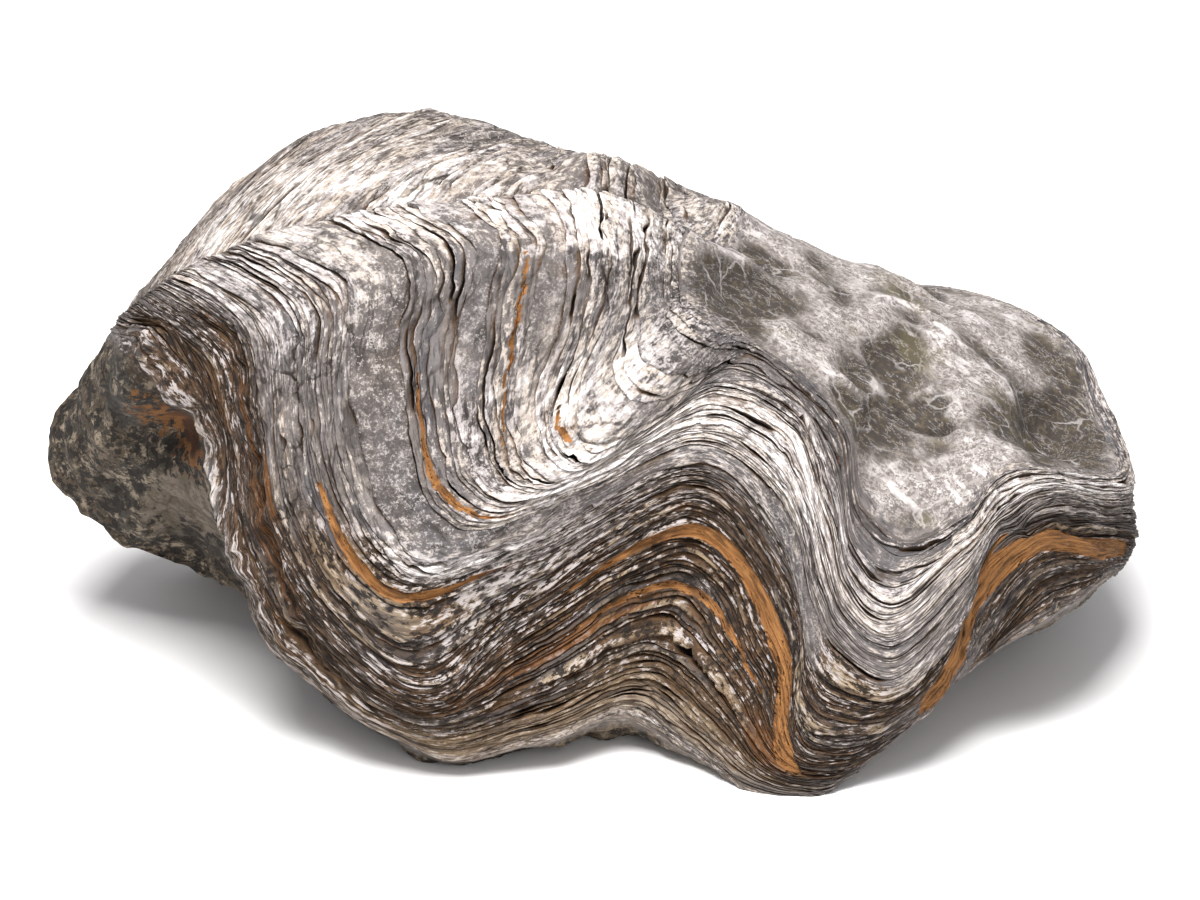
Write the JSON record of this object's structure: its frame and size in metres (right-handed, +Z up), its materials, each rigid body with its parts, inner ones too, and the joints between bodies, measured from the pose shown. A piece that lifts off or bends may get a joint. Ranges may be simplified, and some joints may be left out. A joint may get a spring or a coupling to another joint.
{
  "type": "fossil oyster",
  "caption": "Petrified folded oyster: one stony mass of overlapping shell plates in wavy lobes, with a smooth pitted cap, worn flat beneath so that it rests.",
  "frame": {"origin": "centre of the box round the fossil, at the height of the worn base it rests on", "axes": "+X along the fossil's length towards the smooth cap at its beak, +Y from the folded front towards the back, +Z up"},
  "size_m": [0.183, 0.1206, 0.0877],
  "materials": {
    "petrified_shell": "matte"
  },
  "bodies": {
    "root": {"oyster_shell": "petrified_shell"}
  },
  "joints": []
}
